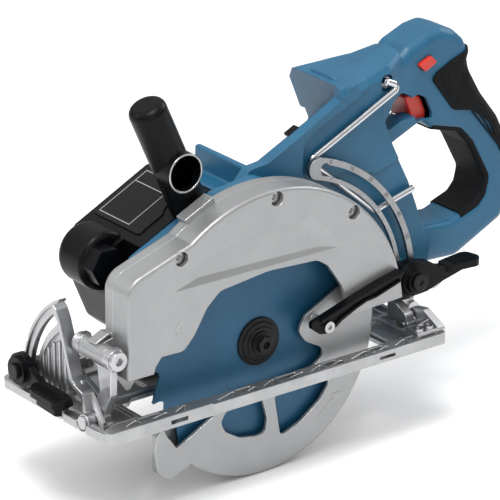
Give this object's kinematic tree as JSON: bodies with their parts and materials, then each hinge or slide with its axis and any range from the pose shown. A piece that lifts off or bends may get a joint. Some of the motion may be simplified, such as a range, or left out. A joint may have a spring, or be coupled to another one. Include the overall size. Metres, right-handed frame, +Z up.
{
  "type": "circular saw",
  "caption": "Cordless rear-handle circular saw, blade on the left, with front-pivot depth setting, bevel quadrant, retracting lower guard and clamp levers; shown without battery.",
  "frame": {"origin": "middle of the sole of the shoe, directly below the spindle", "axes": "+X forward in the cutting direction, +Y to the saw's left (blade side), +Z up"},
  "size_m": [0.4256, 0.132, 0.2811],
  "materials": {
    "cast_base": "bright die cast magnesium, lightly polished",
    "cast_bright": "polished die cast",
    "cast_guard": "fine matte silver paint on a casting",
    "bracket_steel": "stamped plate, satin",
    "bright_steel": "turned, zinc bright",
    "chrome_rod": "chrome plated rod",
    "black_steel": "blackened steel",
    "blade_coat": "low-friction blue coating",
    "blue_plastic": "glass filled nylon, fine texture",
    "black_plastic": "fine spark texture",
    "plate_label": "blank satin plate",
    "grip_rubber": "soft overmould with fine dots",
    "red_plastic": "satin",
    "terminal_mix": "connector block",
    "motor_iron": "laminated core"
  },
  "bodies": {
    "base": {"base_plate": "cast_base", "bevel_quadrant": "cast_bright", "rear_hinge_bracket": "cast_bright", "base_screws": "bright_steel", "bevel_pivot_pins": "bright_steel", "cut_line_pointer": "bright_steel"},
    "tilt_frame": {"front_tilt_link": "cast_bright", "rear_tilt_link": "cast_bright", "bevel_clamp_bolt": "black_steel", "depth_pivot_pin": "bright_steel", "bracket_pin": "bright_steel"},
    "bevel_lever": {"bevel_lever": "black_plastic"},
    "depth_bracket": {"depth_bracket": "bracket_steel"},
    "saw_body": {"guard_housing": "cast_guard", "guard_cover": "cast_guard", "guard_screws": "bright_steel", "gear_housing": "blue_plastic", "motor_housing": "black_plastic", "motor_end_cap": "black_plastic", "front_plate": "plate_label", "front_handle": "black_plastic", "body_shell_left": "blue_plastic", "body_shell_right": "blue_plastic", "shell_screws": "black_steel", "grip_cover": "grip_rubber", "grip_liner": "grip_rubber", "battery_rails": "black_plastic", "battery_terminals": "terminal_mix", "depth_clamp_bolt": "black_steel", "hanging_hook": "chrome_rod", "hook_mount": "bright_steel", "spindle_bearings": "bright_steel", "motor_stator": "motor_iron", "motor_bearings": "bright_steel", "guard_spring": "bright_steel", "control_module": "black_plastic", "trigger_switch": "black_plastic"},
    "depth_lever": {"depth_lever": "black_plastic", "side_boss": "cast_bright"},
    "lower_guard": {"lower_guard": "cast_guard", "guard_lever": "black_plastic", "guard_lever_screw": "bright_steel"},
    "blade_line": {"spindle": "bright_steel", "driven_gear": "bright_steel", "inner_flange": "black_steel", "saw_blade": "blade_coat", "outer_flange": "black_steel", "blade_bolt": "black_steel"},
    "idler": {"idler_gears": "bright_steel"},
    "rotor": {"motor_shaft": "bright_steel", "motor_rotor": "motor_iron", "cooling_fan": "black_plastic"},
    "trigger": {"trigger": "red_plastic"},
    "lock_off_button": {"lock_off_button": "red_plastic"},
    "spindle_lock_button": {"spindle_lock_button": "black_plastic"}
  },
  "joints": [
    {"name": "bevel_tilt", "type": "hinge", "parent": "base", "child": "tilt_frame", "pos_m": [0, 0.033, 0.006], "axis": [-1, 0, 0], "range_deg": [0, 45]},
    {"name": "bevel_clamp", "type": "hinge", "parent": "tilt_frame", "child": "bevel_lever", "pos_m": [0.145, -0.03853, 0.02055], "axis": [1, 0, 0], "range_deg": [0, 40]},
    {"name": "depth_pivot", "type": "hinge", "parent": "tilt_frame", "child": "saw_body", "pos_m": [0.13, 0.031, 0.054], "axis": [0, 1, 0], "range_deg": [0, 24.5]},
    {"name": "bracket_swing", "type": "hinge", "parent": "tilt_frame", "child": "depth_bracket", "pos_m": [-0.15, 0.0128, 0.012], "axis": [0, 1, 0], "range_deg": [-24.6, 0.1]},
    {"name": "depth_clamp", "type": "hinge", "parent": "saw_body", "child": "depth_lever", "pos_m": [-0.149, 0.024, 0.034], "axis": [0, 1, 0], "range_deg": [0, 40]},
    {"name": "lower_guard_swing", "type": "hinge", "parent": "saw_body", "child": "lower_guard", "pos_m": [0, 0.0305, 0.0295], "axis": [0, 1, 0], "range_deg": [0, 110], "stiffness_Nm_per_rad": 0.25, "springref_deg": -34.38},
    {"name": "blade_spin", "type": "hinge", "parent": "saw_body", "child": "blade_line", "pos_m": [0, 0.036, 0.0295], "axis": [0, 1, 0], "continuous": true},
    {"name": "idler_spin", "type": "hinge", "parent": "saw_body", "child": "idler", "pos_m": [0.01655, 0.012, 0.04605], "axis": [0, 1, 0], "continuous": true},
    {"name": "rotor_spin", "type": "hinge", "parent": "saw_body", "child": "rotor", "pos_m": [0.03447, -0.027, 0.06397], "axis": [0, 1, 0], "continuous": true},
    {"name": "trigger_pull", "type": "slide", "parent": "saw_body", "child": "trigger", "axis": [-0.9063, 0, 0.4226], "range_m": [0, 0.006], "stiffness_N_per_m": 900, "springref_m": -0.004},
    {"name": "lock_off_press", "type": "slide", "parent": "saw_body", "child": "lock_off_button", "axis": [0, -1, 0], "range_m": [0, 0.003], "stiffness_N_per_m": 700, "springref_m": -0.003},
    {"name": "spindle_lock_press", "type": "slide", "parent": "saw_body", "child": "spindle_lock_button", "axis": [0, -1, 0], "range_m": [0, 0.003], "stiffness_N_per_m": 700, "springref_m": -0.003}
  ],
  "couplings": [
    {"joint": "bracket_swing", "follows": "depth_pivot", "ratio": -1},
    {"joint": "idler_spin", "follows": "blade_spin", "ratio": -2},
    {"joint": "rotor_spin", "follows": "blade_spin", "ratio": 4}
  ]
}
